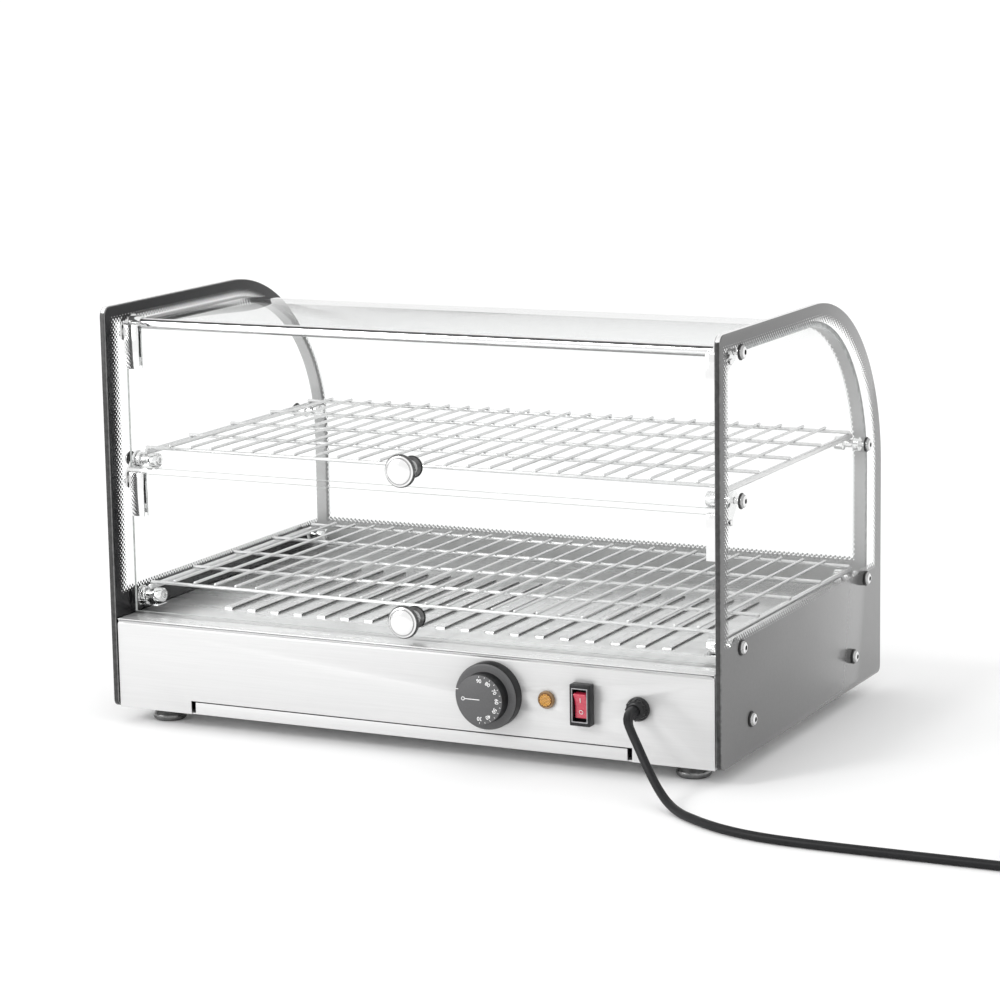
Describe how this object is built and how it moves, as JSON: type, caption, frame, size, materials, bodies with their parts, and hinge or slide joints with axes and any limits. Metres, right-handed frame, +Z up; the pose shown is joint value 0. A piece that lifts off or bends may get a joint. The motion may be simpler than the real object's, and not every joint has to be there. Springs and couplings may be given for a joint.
{
  "type": "hot food display case",
  "caption": "Countertop heated display case with printed glass sides, one bent glass top and back, two lift-up glass doors, wire shelves and a stainless base with dial and switch.",
  "frame": {"origin": "middle of the case's footprint, on the surface the feet stand on", "axes": "+X to the right along the front, +Y to the back, +Z up"},
  "size_m": [0.9314, 0.4909, 0.3534],
  "materials": {
    "printed_glass": "glossy, black printed edge band round a clear middle",
    "clear_glass": "clear, polished edges",
    "brushed_panel": "fine brushed stainless sheet",
    "polished_steel": "mirror polished",
    "shelf_wire": "bright plated wire",
    "black_plastic": "satin moulded",
    "black_rubber": "matte",
    "amber_lens": "translucent, prismatic",
    "red_lens": "translucent",
    "heater_tube": "heat-darkened sheath"
  },
  "bodies": {
    "case": {"base_front_bolt_left": "polished_steel", "base_front_bolt_right": "polished_steel", "base_rear_bolt_left": "polished_steel", "base_rear_bolt_right": "polished_steel", "base_shell": "brushed_panel", "bent_pane": "clear_glass", "cord_coil": "black_rubber", "cord_gland": "black_plastic", "deck_plate": "polished_steel", "foot_front_left": "polished_steel", "foot_front_right": "polished_steel", "foot_rear_left": "polished_steel", "foot_rear_right": "polished_steel", "front_panel": "brushed_panel", "heating_element": "heater_tube", "lower_bracket_left": "polished_steel", "lower_bracket_right": "polished_steel", "lower_front_bolt_left": "polished_steel", "lower_front_bolt_right": "polished_steel", "lower_front_peg_left": "polished_steel", "lower_front_peg_right": "polished_steel", "lower_rear_bolt_left": "polished_steel", "lower_rear_bolt_right": "polished_steel", "lower_rear_peg_left": "polished_steel", "lower_rear_peg_right": "polished_steel", "mains_plug": "black_rubber", "middle_bracket_left": "polished_steel", "middle_bracket_right": "polished_steel", "pilot_lamp": "amber_lens", "power_cord": "black_rubber", "side_pane_left": "printed_glass", "side_pane_right": "printed_glass", "switch_housing": "black_plastic", "thermostat_body": "brushed_panel", "top_bolt_left": "polished_steel", "top_bolt_right": "polished_steel", "top_bracket_left": "polished_steel", "top_bracket_right": "polished_steel", "top_rail": "polished_steel", "upper_front_bolt_left": "polished_steel", "upper_front_bolt_right": "polished_steel", "upper_front_peg_left": "polished_steel", "upper_front_peg_right": "polished_steel", "upper_rear_bolt_left": "polished_steel", "upper_rear_bolt_right": "polished_steel", "upper_rear_peg_left": "polished_steel", "upper_rear_peg_right": "polished_steel"},
    "upper_door": {"upper_door_glass": "clear_glass", "upper_door_clip_left": "polished_steel", "upper_door_clip_right": "polished_steel", "upper_door_knob": "polished_steel"},
    "lower_door": {"lower_door_glass": "clear_glass", "lower_door_clip_left": "polished_steel", "lower_door_clip_right": "polished_steel", "lower_door_knob": "polished_steel"},
    "dial": {"thermostat_knob": "black_plastic"},
    "rocker": {"switch_rocker": "red_lens"},
    "tray": {"crumb_tray": "brushed_panel"},
    "upper_rack": {"upper_shelf": "shelf_wire"},
    "lower_rack": {"lower_shelf": "shelf_wire"}
  },
  "joints": [
    {"name": "upper_door_hinge", "type": "hinge", "parent": "case", "child": "upper_door", "pos_m": [0, -0.14465, 0.3302], "axis": [-1, 0, 0], "range_deg": [0, 90]},
    {"name": "lower_door_hinge", "type": "hinge", "parent": "case", "child": "lower_door", "pos_m": [0, -0.14465, 0.2052], "axis": [-1, 0, 0], "range_deg": [0, 90]},
    {"name": "thermostat_turn", "type": "hinge", "parent": "case", "child": "dial", "pos_m": [0.079, -0.17145, 0.0575], "axis": [0, 1, 0], "range_deg": [0, 270]},
    {"name": "switch_rock", "type": "hinge", "parent": "case", "child": "rocker", "pos_m": [0.1604, -0.17295, 0.0575], "axis": [1, 0, 0], "range_deg": [-20, 0]},
    {"name": "crumb_tray_slide", "type": "slide", "parent": "case", "child": "tray", "axis": [0, -1, 0], "range_m": [0, 0.25]},
    {"name": "upper_shelf_lift", "type": "slide", "parent": "case", "child": "upper_rack", "axis": [0, 0, 1], "range_m": [0, 0.025]},
    {"name": "lower_shelf_lift", "type": "slide", "parent": "case", "child": "lower_rack", "axis": [0, 0, 1], "range_m": [0, 0.025]}
  ]
}
